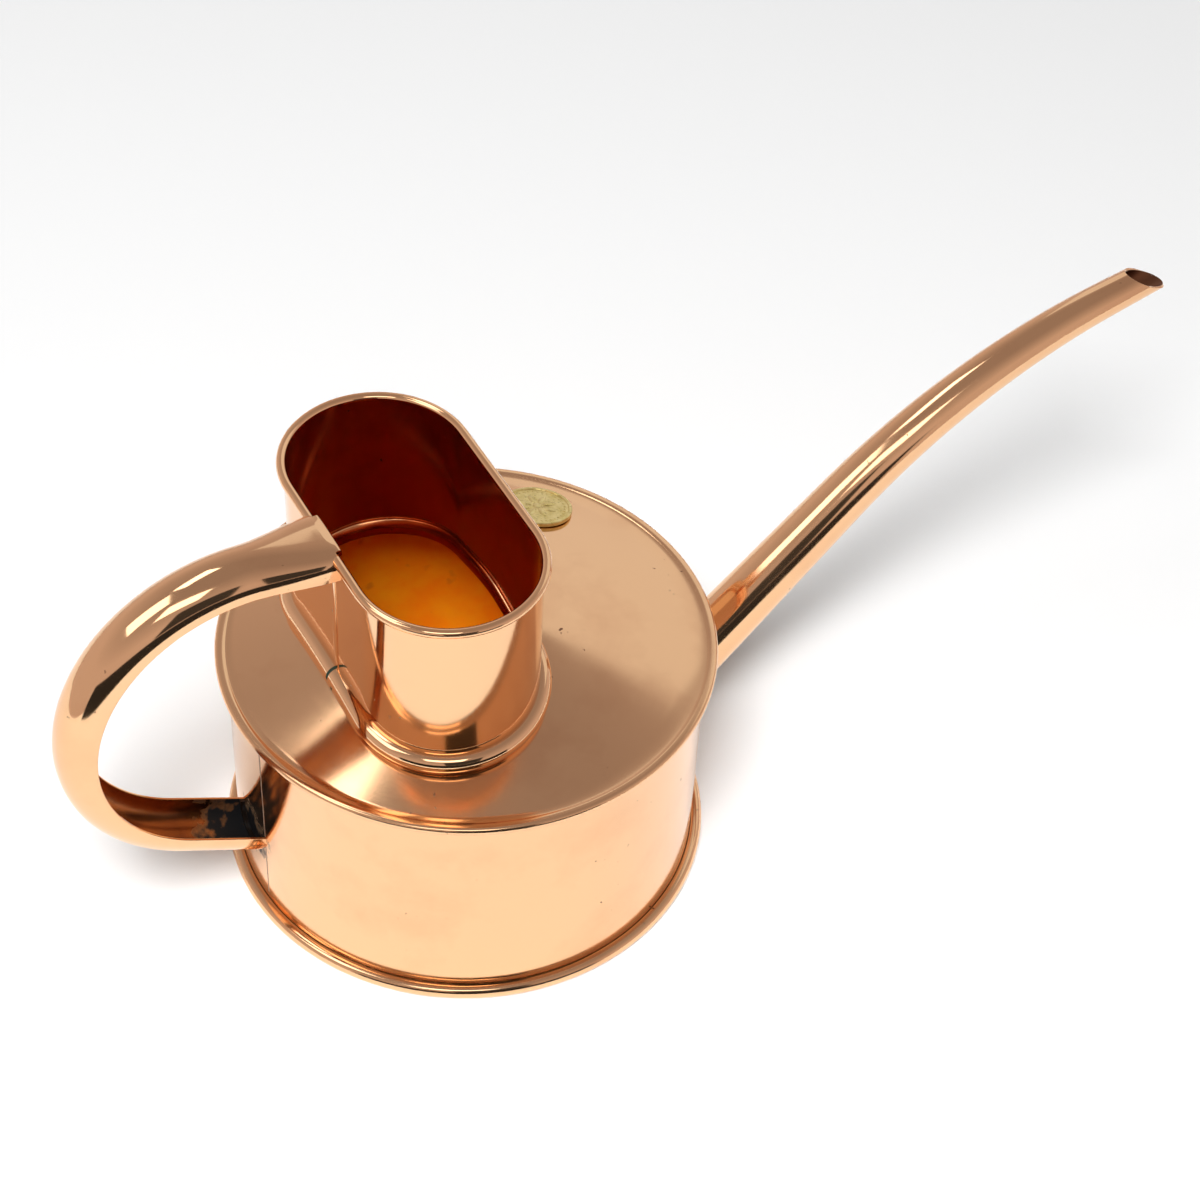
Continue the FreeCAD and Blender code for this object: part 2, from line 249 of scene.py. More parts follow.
# A small kit for node trees: every call adds one node and links what it is given.
class Finish:
    def __init__(self, name):
        self.material = bpy.data.materials.new(name)
        self.material.use_nodes = True
        self.tree = self.material.node_tree
        self.shader = self.tree.nodes["Principled BSDF"]
        self.place = self.tree.nodes.new("ShaderNodeTexCoord").outputs["Object"]

    def feed(self, socket, value):
        if isinstance(value, bpy.types.NodeSocket):
            self.tree.links.new(value, socket)
        elif socket.type == "RGBA":
            socket.default_value = (*value, 1)
        else:
            socket.default_value = value

    def noise(self, scale, detail=3.0, stretch=(1, 1, 1), rough=0.5, source=None):
        mapping = self.tree.nodes.new("ShaderNodeMapping")
        mapping.inputs["Scale"].default_value = stretch
        self.feed(mapping.inputs["Vector"], source or self.place)
        noise = self.tree.nodes.new("ShaderNodeTexNoise")
        noise.inputs["Scale"].default_value = scale
        noise.inputs["Detail"].default_value = detail
        noise.inputs["Roughness"].default_value = rough
        self.feed(noise.inputs["Vector"], mapping.outputs[0])
        return noise.outputs["Fac"]

    # Distance from the Z axis and height, for a pattern that runs round the can.
    def roundGrain(self, scale, detail=2.0):
        flat = self.tree.nodes.new("ShaderNodeVectorMath")
        flat.operation = "MULTIPLY"
        flat.inputs[1].default_value = (1, 1, 0)
        self.feed(flat.inputs[0], self.place)
        length = self.tree.nodes.new("ShaderNodeVectorMath")
        length.operation = "LENGTH"
        self.feed(length.inputs[0], flat.outputs[0])
        split = self.tree.nodes.new("ShaderNodeSeparateXYZ")
        self.feed(split.inputs[0], self.place)
        join = self.tree.nodes.new("ShaderNodeCombineXYZ")
        self.feed(join.inputs["X"], length.outputs["Value"])
        self.feed(join.inputs["Z"], split.outputs["Z"])
        return self.noise(scale, detail, source=join.outputs[0])

    # 1 about a place, fading to 0 at a ragged edge.
    def stain(self, place, reach):
        gap = self.tree.nodes.new("ShaderNodeVectorMath")
        gap.operation = "DISTANCE"
        gap.inputs[1].default_value = Vector(place) * mm
        self.feed(gap.inputs[0], self.place)
        ragged = self.ramp(self.noise(260, 3), 0.3, 0.7, 0, reach * mm / 2)
        return self.ramp(self.math("ADD", gap.outputs["Value"], ragged), reach * mm, reach * mm * 0.7)

    def ramp(self, value, low, high, atLow=0.0, atHigh=1.0):
        node = self.tree.nodes.new("ShaderNodeMapRange")
        node.inputs["From Min"].default_value = low
        node.inputs["From Max"].default_value = high
        node.inputs["To Min"].default_value = atLow
        node.inputs["To Max"].default_value = atHigh
        self.feed(node.inputs["Value"], value)
        return node.outputs[0]

    def math(self, operation, a, b):
        node = self.tree.nodes.new("ShaderNodeMath")
        node.operation = operation
        self.feed(node.inputs[0], a)
        self.feed(node.inputs[1], b)
        return node.outputs[0]

    def mix(self, amount, a, b):
        node = self.tree.nodes.new("ShaderNodeMix")
        node.data_type = "RGBA"
        self.feed(node.inputs["Factor"], amount)
        self.feed(node.inputs[6], a)
        self.feed(node.inputs[7], b)
        return node.outputs[2]

    def bump(self, height, strength, distance, under=None):
        node = self.tree.nodes.new("ShaderNodeBump")
        node.inputs["Strength"].default_value = strength
        node.inputs["Distance"].default_value = distance * mm
        self.feed(node.inputs["Height"], height)
        if under is not None:
            self.feed(node.inputs["Normal"], under)
        return node.outputs[0]

    def shade(self, color, roughness, normal=None, metallic=1.0):
        self.feed(self.shader.inputs["Base Color"], color)
        self.feed(self.shader.inputs["Roughness"], roughness)
        self.feed(self.shader.inputs["Metallic"], metallic)
        if normal is not None:
            self.feed(self.shader.inputs["Normal"], normal)
        return self.material


copper = {
    "color": (0.91, 0.55, 0.305),
    "worn": (0.76, 0.41, 0.22),      # thin brown film where fingers and water have been
    "tarnish": (0.16, 0.07, 0.04),   # pits and flecks, and the painted shade of the spout's bore
    "inside": (0.64, 0.21, 0.08),    # reddened by water
    "paintedShadeBrown": (0.34, 0.14, 0.06),     # painted shade: the brown of the handle's channel, and the film in the spout's bore and the can's inner sides
    # the lighter brown of the painted shade in the handle's channel
    "paintedShadeLightBrown": (0.55, 0.24, 0.09),
    "flux": (0.012, 0.012, 0.013),   # burnt flux left in the corners
}


# Polished copper sheet: gloss is its roughness, wave how far it is out of true, film and flecks how much
# tarnish it has (on the inner sides and the bore, film is how much brown painted shade they have), brush how
# deep the polishing lines are, and scorch a burnt place.
def copperFinish(name, gloss, wave, film, flecks, brush=0.2, color="color", scorch=None):
    f = Finish(name)
    spread = f.ramp(f.noise(28, 5, rough=0.6), 0.5, 0.78, 0.0, film)
    pits = f.math("MULTIPLY", f.ramp(f.noise(620, 2), 0.72, 0.76), f.ramp(f.noise(40, 1), 0.54, 0.64))
    pits = f.math("MULTIPLY", pits, flecks)
    # on the inner sides and the bore the film is the brown painted shade, not worn copper
    tint = f.mix(spread, copper[color], copper["worn"] if color == "color" else copper["paintedShadeBrown"])
    tint = f.mix(pits, tint, copper["tarnish"])
    lines = f.roundGrain(5200)
    rough = f.ramp(f.noise(60, 4, rough=0.55), 0.3, 0.75, gloss, gloss * 1.6)
    rough = f.math("ADD", rough, f.ramp(lines, 0.4, 0.8, 0.0, gloss * 0.4))
    rough = f.math("ADD", rough, f.math("MULTIPLY", pits, 0.3))
    metallic = 1.0
    if scorch:
        burnt = f.stain(*scorch)
        tint = f.mix(burnt, tint, copper["flux"])
        rough = f.math("ADD", rough, f.math("MULTIPLY", burnt, 0.35))
        metallic = f.ramp(burnt, 0, 1, 1.0, 0.3)
    normal = f.bump(f.noise(22, 1), 1.0, wave)
    normal = f.bump(lines, brush, 0.0012, normal)
    return f.shade(tint, rough, normal, metallic)


wetCopper = {
    "orange": (0.98, 0.27, 0.005),
    "bright": (1.0, 0.42, 0.01),
    "spot": (0.45, 0.14, 0.02),
    "metallic": 0.12,
}


# Bare copper that water has turned orange, dull enough to glow under the filler neck.
def baseFinish():
    f = Finish("baseCopper")
    tint = f.mix(f.ramp(f.noise(48, 4, rough=0.6), 0.35, 0.7), wetCopper["orange"], wetCopper["bright"])
    spot = f.ramp(f.noise(130, 2), 0.66, 0.74, 0.0, 0.4)
    tint = f.mix(spot, tint, wetCopper["spot"])
    normal = f.bump(f.noise(30, 2), 1.0, 0.25)
    return f.shade(tint, f.ramp(f.noise(90, 3), 0.3, 0.7, 0.32, 0.45), normal, wetCopper["metallic"])


# The handle's inner side: brown painted shade down the channel, and black with flux about the place where it
# meets the drum.
def channelShadeAndFluxFinish(scorch):
    f = Finish("channelShadeAndFluxCopper")
    black = f.stain(*scorch)
    # painted shade: the whole channel is coloured brown, darker than the copper outside
    brown = f.mix(f.ramp(f.noise(90, 4), 0.35, 0.65), copper["paintedShadeBrown"], copper["paintedShadeLightBrown"])
    tint = f.mix(black, brown, copper["flux"])
    normal = f.bump(f.noise(400, 3), 0.5, 0.05)
    return f.shade(tint, f.ramp(black, 0, 1, 0.24, 0.55), normal, f.ramp(black, 0, 1, 1.0, 0.4))


brass = {
    "dull": (0.72, 0.57, 0.20),
    "bright": (0.92, 0.77, 0.36),
    "dirt": (0.40, 0.32, 0.10),
}


def brassFinish():
    f = Finish("wornBrass")
    mottle = f.noise(380, 4, rough=0.6)
    tint = f.mix(f.ramp(mottle, 0.35, 0.65), brass["dull"], brass["bright"])
    tint = f.mix(f.ramp(f.noise(1300, 2), 0.58, 0.72, 0.0, 0.6), tint, brass["dirt"])
    normal = f.bump(f.noise(700, 3), 0.5, 0.08)
    return f.shade(tint, f.ramp(mottle, 0.3, 0.7, 0.26, 0.40), normal)


# Each solder or wire: its bare colour, its tarnished colour and how much of it is tarnished.
solders = {
    "fluxedSolder": ((0.30, 0.22, 0.16), (0.035, 0.05, 0.04), 0.6),
    "seamSolder": ((0.90, 0.66, 0.48), (0.55, 0.33, 0.20), 0.2),
    "drumLineSolder": ((0.45, 0.30, 0.22), (0.25, 0.16, 0.12), 0.3),
    "brownSolder": ((0.62, 0.30, 0.17), (0.30, 0.12, 0.06), 0.5),
    "verdigrisSolder": ((0.10, 0.11, 0.08), (0.03, 0.07, 0.05), 0.7),
    "burntFlux": ((0.06, 0.04, 0.03), (0.015, 0.015, 0.015), 0.5),
    "drawnWire": ((0.55, 0.53, 0.50), (0.30, 0.28, 0.25), 0.2),
}


def solderFinish(name, metal, tarnish, amount):
    f = Finish(name)
    patch = f.noise(420, 4, rough=0.65)
    tint = f.mix(f.ramp(patch, 0.62 - amount * 0.3, 0.72 - amount * 0.2), metal, tarnish)
    normal = f.bump(f.noise(900, 3), 0.5, 0.08)
    return f.shade(tint, f.ramp(patch, 0.3, 0.7, 0.35, 0.75), normal, f.ramp(patch, 0.5, 0.65, 0.9, 0.25))


def makeFinishes():
    joint = boxOf("handle_foot_solder")
    foot = (-drumRadius, 0, (joint[0].z + joint[1].z) / 2)
    made = {name: solderFinish(name, *look) for name, look in solders.items()}
    made.update({
        "drum": copperFinish("drumCopper", 0.09, 0.08, 0.6, 0.9, scorch=(foot, 11.5)),
        "cone": copperFinish("coneCopper", 0.11, 0.07, 0.8, 1.0, brush=0.1),
        "neck": copperFinish("neckCopper", 0.06, 0.03, 0.3, 0.7),
        "handle": copperFinish("handleCopper", 0.06, 0.05, 0.5, 0.8, brush=0.08),
        "spout": copperFinish("spoutCopper", 0.08, 0.04, 0.4, 0.7, brush=0.08),
        # painted shade: the spout's bore is coloured near black with the tarnish colour and the brown film
        "bore": copperFinish("boreCopper", 0.3, 0.05, 0.9, 0.6, color="tarnish"),
        # the can's inner sides: reddened copper, darkened in patches towards the brown painted shade
        "inside": copperFinish("insideCopper", 0.15, 0.05, 0.9, 0.6, color="inside"),
        "base": baseFinish(),
        # painted shade down the handle's channel, with black flux near the foot
        "channelShadeAndFlux": channelShadeAndFluxFinish((foot, 22)),
        "brass": brassFinish(),
    })
    return made


def heading(degrees):
    angle = math.radians(degrees)
    return Vector((math.cos(angle), 0, math.sin(angle)))


def lineTo(bm, start, x, z):
    end = bmesh.ops.extrude_vert_indiv(bm, verts=[start])["verts"][0]
    end.co = (x, start.co.y, z)
    return end


# An arc in the XZ plane about (x, z), anticlockwise seen from -Y.
def arcTo(bm, start, x, z, degrees, steps=10):
    turned = bmesh.ops.spin(bm, geom=[start], cent=(x, start.co.y, z), axis=(0, -1, 0),
                            angle=math.radians(degrees), steps=steps)
    return turned["geom_last"][0]


def spinRound(bm, steps=256):
    bmesh.ops.spin(bm, geom=bm.verts[:] + bm.edges[:], cent=(0, 0, 0), axis=(0, 0, 1),
                   angle=math.tau, steps=steps, use_merge=True)


# Extrudes a ring or a wire of edges once, and returns the new edges and vertices.
def grow(bm, edges):
    made = bmesh.ops.extrude_edge_only(bm, edges=edges)["geom"]
    verts = [g for g in made if isinstance(g, bmesh.types.BMVert)]
    known = set(verts)
    return [g for g in made if isinstance(g, bmesh.types.BMEdge) and known.issuperset(g.verts)], verts


def spinEdges(bm, edges, centre, axis, degrees, steps):
    verts = list({v for e in edges for v in e.verts})
    turned = bmesh.ops.spin(bm, geom=verts + edges, cent=centre, axis=axis,
                            angle=math.radians(degrees), steps=steps)
    return [g for g in turned["geom_last"] if isinstance(g, bmesh.types.BMEdge)]


# Joins, turns outward, scales and places a piece. A sheet that is given a thickness is drawn as its
# outer side alone, so its topmost level face tells which way is out.
def finishPiece(name, bm, materials, nodes, thickness=0.0, round=0.0, sharp=35):
    bmesh.ops.remove_doubles(bm, verts=bm.verts, dist=0.002)
    bmesh.ops.recalc_face_normals(bm, faces=bm.faces)
    if thickness:
        top = max(bm.faces, key=lambda face: face.calc_center_median().z * (abs(face.normal.z) > 0.9))
        if top.normal.z < 0:
            bmesh.ops.reverse_faces(bm, faces=bm.faces)
    bmesh.ops.scale(bm, vec=(mm, mm, mm), verts=bm.verts)
    piece = newObject(name, bm, materials)
    piece.data.shade_smooth()
    piece.data.set_sharp_from_angle(angle=math.radians(sharp))
    if thickness:
        wall = piece.modifiers.new("wall", "SOLIDIFY")
        wall.thickness = thickness * mm
        wall.offset = -1
        wall.material_offset = len(materials) - 1
    if round:
        edge = piece.modifiers.new("edge", "BEVEL")
        edge.width = round * mm
        edge.segments = 2
        edge.limit_method = "ANGLE"
        edge.angle_limit = math.radians(60)
        edge.harden_normals = True
    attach(piece, "root")
    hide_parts(*nodes)
    print("made", name)


drum = {
    "curl": 300,           # degrees that the foot's edge wraps round its wire
    "curlSteps": 30,
    "underSteps": 6,       # of the bend into the flange, on its underside
    "overSteps": 8,        # and on its upper side
}


def makeDrumWall(finishes):
    curl, steps = drum["curl"], drum["curlSteps"]
    bm = bmesh.new()
    pen = bm.verts.new((drumInside, 0, bendZ))
    pen = lineTo(bm, pen, drumInside, footHeight)
    pen = arcTo(bm, pen, footMiddle, footHeight, curl, steps)
    tip = heading(180 + curl) * footWireRadius
    pen = lineTo(bm, pen, footMiddle + tip.x, footHeight + tip.z)
    pen = arcTo(bm, pen, footMiddle, footHeight, -curl, steps)
    pen = lineTo(bm, pen, drumRadius, bendZ)
    pen = arcTo(bm, pen, bendX, bendZ, -90, drum["underSteps"])
    pen = lineTo(bm, pen, flangeEdge, flangeUnder)
    pen = lineTo(bm, pen, flangeEdge, flangeUnder + sheet)
    pen = lineTo(bm, pen, bendX, flangeUnder + sheet)
    arcTo(bm, pen, bendX, bendZ, 90, drum["overSteps"])
    bmesh.ops.remove_doubles(bm, verts=bm.verts, dist=0.002)
    spinRound(bm)
    for v in bm.verts:
        v.co.z = max(v.co.z, 0)          # the foot is planished flat where it stands
    for face in bm.faces:
        middle = face.calc_center_median()
        reach = math.hypot(middle.x, middle.y)
        face.material_index = int(reach < drumInside + sheet / 4 and middle.z > footHeight)
    finishPiece("drum_shell", bm, [finishes["drum"], finishes["base"]], ["drum_wall"])


def makeBase(finishes):
    rise = boxOf("base_disc")[1].z - sheet
    low = boxOf("base_disc")[0].z
    bm = bmesh.new()
    pen = bm.verts.new((0, 0, rise + sheet))
    pen = lineTo(bm, pen, drumInside - sheet, rise + sheet)
    pen = arcTo(bm, pen, drumInside - sheet, rise, -90, 5)
    pen = lineTo(bm, pen, drumInside, low)
    pen = lineTo(bm, pen, drumInside - sheet, low)
    pen = lineTo(bm, pen, drumInside - sheet, rise)
    lineTo(bm, pen, 0, rise)
    spinRound(bm, 192)
    finishPiece("base_plate", bm, [finishes["base"]], ["base_disc"])


# Distance from the drum's axis to the neck's outline along a direction, for an outline whose ends
# have the given radius.
def rayToNeck(direction, radius):
    side = math.copysign(1, direction.x)
    if abs(direction.x) > 1e-6:
        reach = (neckX + side * radius) / direction.x
        if reach > 0 and abs(reach * direction.y) <= neckHalf:
            return reach
    centre = Vector((neckX, math.copysign(neckHalf, direction.y), 0))
    along = direction.dot(centre)
    return along + math.sqrt(along ** 2 - centre.length_squared + radius ** 2)


shoulder = {
    "flangeHeight": 5.0,                     # edge turned up inside the neck
    "rings": (0.1, 0.25, 0.5, 0.75, 0.9, 1), # shares of the way from the neck to the seam
    "riseSteps": 6,
    "foldSteps": 12,
    "hemGap": 0.05,                          # from the hem's edge to the bend in the wall
    "segments": 360,
}


def makeShoulder(finishes):
    bm = bmesh.new()
    bmesh.ops.create_circle(bm, cap_ends=False, segments=shoulder["segments"], radius=1)
    ring = bm.edges[:]
    for v in bm.verts:
        v.co = v.co * rayToNeck(v.co.normalized(), neckInside)
        v.co.z = coneTop(v.co.x, v.co.y) + shoulder["flangeHeight"]
    ring, verts = grow(bm, ring)
    for v in verts:
        v.co.z -= shoulder["flangeHeight"]

    # rings across the cone, then over the folded seam and under it
    for share in shoulder["rings"]:
        ring, verts = grow(bm, ring)
        for v in verts:
            flat = Vector((v.co.x, v.co.y, 0)).normalized()
            near = rayToNeck(flat, neckInside)
            v.co = flat * (near + (shoulderEdge - near) * share)
            v.co.z = coneTop(v.co.x, v.co.y)
    start = math.degrees(math.atan2(shoulderEdgeHeight - bendZ, shoulderEdge - bendX))
    profile = []
    for i in range(1, shoulder["riseSteps"] + 1):
        angle = start + (90 - start) * i / shoulder["riseSteps"]
        profile.append(Vector((bendX, 0, bendZ)) + heading(angle) * riseRadius)
    for i in range(shoulder["foldSteps"] + 1):
        angle = 90 - 180 * i / shoulder["foldSteps"]
        profile.append(Vector((flangeEdge, 0, seamHeight)) + heading(angle) * 1.5 * sheet)
    profile.append(Vector((bendX + shoulder["hemGap"], 0, seamHeight - 1.5 * sheet)))
    for place in profile:
        ring, verts = grow(bm, ring)
        for v in verts:
            v.co = Vector((v.co.x, v.co.y, 0)).normalized() * place.x
            v.co.z = place.z
    finishPiece("shoulder_cone", bm, [finishes["cone"], finishes["inside"]], ["shoulder"],
                thickness=sheet, sharp=40)


# Carries a wire drawn at the neck's far corner once round its outline.
def roundNeck(bm, steps=48, flatSteps=24):
    ring = bm.edges[:]
    for side in (1, -1):
        ring = spinEdges(bm, ring, (neckX, side * neckHalf, 0), (0, 0, 1), 180, steps)
        for i in range(flatSteps):
            ring, verts = grow(bm, ring)
            bmesh.ops.translate(bm, vec=(0, -side * 2 * neckHalf / flatSteps, 0), verts=verts)
    bmesh.ops.remove_doubles(bm, verts=bm.verts, dist=0.002)


# The nearest point on the line between the centres of the neck's round ends.
def neckSpine(place):
    return Vector((neckX, max(-neckHalf, min(neckHalf, place.y)), 0))


def onNeckWall(place):
    spine = neckSpine(place)
    return spine + (Vector((place.x, place.y, 0)) - spine).normalized() * neckRadius


neck = {
    "curl": 300,           # degrees that the rim's edge wraps round its wire
    "curlSteps": 26,
}


def makeNeck(finishes):
    curl, steps = neck["curl"], neck["curlSteps"]
    bm = bmesh.new()
    pen = bm.verts.new((neckX + neckInside, neckHalf, 0))
    pen = lineTo(bm, pen, neckX + neckInside, neckHeight)
    pen = arcTo(bm, pen, neckX + rimMiddle, neckHeight, -curl, steps)
    tip = heading(180 - curl) * rimWireRadius
    pen = lineTo(bm, pen, neckX + rimMiddle + tip.x, neckHeight + tip.z)
    pen = arcTo(bm, pen, neckX + rimMiddle, neckHeight, curl, steps)
    pen = lineTo(bm, pen, neckX + neckRadius, 0)
    bm.verts.ensure_lookup_table()
    bm.edges.new((pen, bm.verts[0]))
    roundNeck(bm)
    for v in bm.verts:
        if v.co.z < 1:
            v.co.z = coneTop(v.co.x, v.co.y)
    for face in bm.faces:
        middle = face.calc_center_median()
        reach = (Vector((middle.x, middle.y, 0)) - neckSpine(middle)).length
        face.material_index = int(reach < neckInside + sheet / 4 and middle.z < neckHeight)
    finishPiece("neck_shell", bm, [finishes["neck"], finishes["inside"]], ["neck_tube"])


moulding = {
    "radius": 3.0,         # half round
    "lift": 2.6,           # its middle above the cone
    "joint": 1.0,          # gap between its ends, under the handle
    "tuck": 0.1,           # how far its back goes into the neck's wall
}


def makeCollar(finishes):
    radius, lift, joint = moulding["radius"], moulding["lift"], moulding["joint"]
    back = neckX + neckRadius - moulding["tuck"]
    bm = bmesh.new()
    pen = bm.verts.new((back, neckHalf, lift - radius))
    pen = lineTo(bm, pen, neckX + neckRadius, lift - radius)
    pen = arcTo(bm, pen, neckX + neckRadius, lift, 180, 20)
    pen = lineTo(bm, pen, back, lift + radius)
    bm.verts.ensure_lookup_table()
    bm.edges.new((pen, bm.verts[0]))
    roundNeck(bm)
    for v in bm.verts:
        wall = onNeckWall(v.co)
        v.co.z += coneTop(wall.x, wall.y)
    for edge in (-joint / 2, joint / 2):
        near = [g for g in bm.verts[:] + bm.edges[:] + bm.faces[:]
                if (g.co.x if isinstance(g, bmesh.types.BMVert) else g.verts[0].co.x) < neckX]
        bmesh.ops.bisect_plane(bm, geom=near, plane_co=(0, neckSeamY + edge, 0), plane_no=(0, 1, 0))
    gap = [f for f in bm.faces if f.calc_center_median().x < neckX
           and abs(f.calc_center_median().y - neckSeamY) < joint / 2]
    bmesh.ops.delete(bm, geom=gap, context="FACES")
    bmesh.ops.holes_fill(bm, edges=[e for e in bm.edges if e.is_boundary])
    finishPiece("neck_moulding", bm, [finishes["neck"]], ["neck_collar"])


# An upright strip whose middle lies on a wall, with its long edges rounded.
def uprightStrip(x, y, proud, width, low, top, round):
    bm = bmesh.new()
    bmesh.ops.create_cube(bm, size=1)
    bmesh.ops.scale(bm, vec=(2 * proud, width, top - low), verts=bm.verts)
    bmesh.ops.translate(bm, vec=(x, y, (top + low) / 2), verts=bm.verts)
    upright = [e for e in bm.edges if abs(e.verts[0].co.z - e.verts[1].co.z) > width]
    bmesh.ops.bevel(bm, geom=upright, offset=round, segments=3, profile=0.5, affect="EDGES", material=-1)
    return bm


neckLap = {
    "width": 2.4,
    "proud": 0.22,
    "round": 0.16,
    "belowRim": 2.2,       # from the rim's middle down to its top
}


# The lapped edge of the neck's seam, a thin strip down the flat side under the handle.
def makeNeckSeam(finishes):
    low = coneTop(neckWallX, neckSeamY)
    top = neckHeight - neckLap["belowRim"]
    bm = uprightStrip(neckWallX, neckSeamY, neckLap["proud"], neckLap["width"], low, top, neckLap["round"])
    finishPiece("neck_lap", bm, [finishes["neck"]], ["neck_seam_solder"], sharp=60)


handle = {
    "halfWidth": 8.3,
    "depth": 8.5,
    "corner": 7.9,
    "bend": 43.1,          # radius at the channel's open edges
    "turn": 155.4,         # degrees
    "reach": 22.5,         # straight from the neck to the bend
    "rise": 2.5,           # degrees
    "drop": 5.4,           # open edges at the neck, below the rim's middle
    "flapHalfWidth": 10.3,
    "flapDepth": 7.75,
    "flapSquare": 0.58,    # 1 is an ellipse, less is squarer
    "hookWidth": 16.6,
    "hookDepth": 1.6,
    "hookRound": 1.0,
    "hookGap": 0.05,
    "hookFlatten": 0.3,    # how much of the crown's curve is left over the rim
    "edgeRound": 0.22,
}


def makeHandle(finishes):
    h = handle
    along = heading(180 - h["rise"])
    outward = heading(90 - h["rise"])
    neckEnd = Vector((neckWallX, 0, neckHeight - h["drop"]))
    bendStart = neckEnd + along * h["reach"]
    bendCentre = bendStart - outward * h["bend"]

    # the open U of the channel, drawn flat in X (across) and Z (depth), then stood up at the bend
    side = h["depth"] - h["corner"]
    bm = bmesh.new()
    pen = bm.verts.new((-h["halfWidth"], 0, 0))
    for i in range(3):
        pen = lineTo(bm, pen, -h["halfWidth"], side * (i + 1) / 3)
    pen = arcTo(bm, pen, h["corner"] - h["halfWidth"], side, -90, 18)
    pen = lineTo(bm, pen, h["halfWidth"] - h["corner"], h["depth"])
    pen = arcTo(bm, pen, h["halfWidth"] - h["corner"], side, -90, 18)
    for i in range(3):
        pen = lineTo(bm, pen, h["halfWidth"], side * (2 - i) / 3)
    stand = Matrix.Translation(bendStart) @ Matrix((Vector((0, 1, 0)), along, outward)).transposed().to_4x4()
    bmesh.ops.transform(bm, matrix=stand, verts=bm.verts)
    startWire = bm.edges[:]

    footWire = spinEdges(bm, startWire, bendCentre, (0, -1, 0), h["turn"], 80)
    footDirection = heading(180 - h["rise"] + h["turn"])
    for i in range(4):
        footWire, verts = grow(bm, footWire)
        bmesh.ops.translate(bm, vec=footDirection * 3.2, verts=verts)
    for v in verts:                      # trimmed to the drum's wall, a little way into it
        reach = drumInside + sheet / 2
        a = footDirection.x ** 2
        b = v.co.x * footDirection.x
        c = v.co.x ** 2 + v.co.y ** 2 - reach ** 2
        v.co += footDirection * ((-b - math.sqrt(b * b - a * c)) / a)

    steps = 16
    wire = startWire
    for i in range(steps):
        wire, verts = grow(bm, wire)
        bmesh.ops.translate(bm, vec=-along * (h["reach"] / steps), verts=verts)
    for v in bm.verts:                   # the channel spreads and squares up towards the neck
        run = (bendStart - v.co).dot(along)
        if run > 0.001 and v.co.z > neckHeight - 2 * h["depth"]:
            share = run / h["reach"]
            ease = share * share * (3 - 2 * share)
            height = (v.co - bendStart).dot(outward)
            power = 1 + (h["flapSquare"] - 1) * ease
            across = max(min(abs(v.co.y) / h["halfWidth"], 1), 0) ** power
            deep = max(min(height / h["depth"], 1), 0) ** power
            halfWidth = h["halfWidth"] + (h["flapHalfWidth"] - h["halfWidth"]) * ease
            depth = h["depth"] + (h["flapDepth"] - h["depth"]) * ease
            v.co += outward * (depth * deep - height)
            v.co.y = math.copysign(halfWidth * across, v.co.y)
    for v in verts:
        v.co.x = neckWallX - 0.1

    # the crown runs on over the rim and hooks down inside it
    top = max(v.co.z for v in verts)
    crown = [e for e in wire if all(abs(v.co.y) < h["hookWidth"] / 2 and v.co.z > top - 0.6 for v in e.verts)]
    hookX = neckWallX + 2 * sheet + h["hookGap"]
    hookBendX = hookX - h["hookRound"]
    crownTop = neckHeight + rimRadius + sheet + h["hookGap"]
    crown, verts = grow(bm, crown)
    for v in verts:
        v.co.x = hookBendX
        v.co.z = crownTop - (top - v.co.z) * h["hookFlatten"]
    crown = spinEdges(bm, crown, (hookBendX, 0, verts[0].co.z - h["hookRound"]), (0, 1, 0), 90, 6)
    crown, verts = grow(bm, crown)
    for v in verts:
        v.co.z = neckHeight + rimRadius - h["hookDepth"]
    # the channel's inner side takes the brown painted shade and the flux
    finishPiece("handle_strap", bm, [finishes["handle"], finishes["channelShadeAndFlux"]], ["handle_channel"],
                thickness=sheet, round=handle["edgeRound"], sharp=50)


spout = {
    "height": 23.6,        # where its axis meets the drum's wall
    "angle": 42.9,
    "tipAngle": 12.6,
    "straight": 74.0,
    "bend": 182.0,
    "tipStraight": 12.8,
    "footRadius": 8.95,
    "tipRadius": 4.9,
    "tipCut": 62.5,
    "runIn": 14,           # drawn inside the drum and past the tip, then trimmed off
    "edgeRound": 0.3,
}


# Centre, angle and distance from the wall at each station along the spout.
def spoutLine(bendSteps=28):
    s = spout
    foot = Vector((drumRadius, 0, s["height"]))
    line = []
    for i in range(9):
        run = -s["runIn"] + (s["straight"] + s["runIn"]) * i / 8
        line.append((foot + heading(s["angle"]) * run, s["angle"], run))
    centre = line[-1][0] - heading(s["angle"] + 90) * s["bend"]
    for i in range(1, bendSteps + 1):
        turn = (s["angle"] - s["tipAngle"]) * i / bendSteps
        at = centre + heading(s["angle"] - turn + 90) * s["bend"]
        line.append((at, s["angle"] - turn, s["straight"] + math.radians(turn) * s["bend"]))
    end, angle, run = line[-1]
    last = s["tipStraight"] + s["runIn"]
    line.append((end + heading(angle) * last, angle, run + last))
    return line


def spoutLength():
    s = spout
    return s["straight"] + math.radians(s["angle"] - s["tipAngle"]) * s["bend"] + s["tipStraight"]


def spoutRadius(run):
    return spout["footRadius"] + (spout["tipRadius"] - spout["footRadius"]) * run / spoutLength()


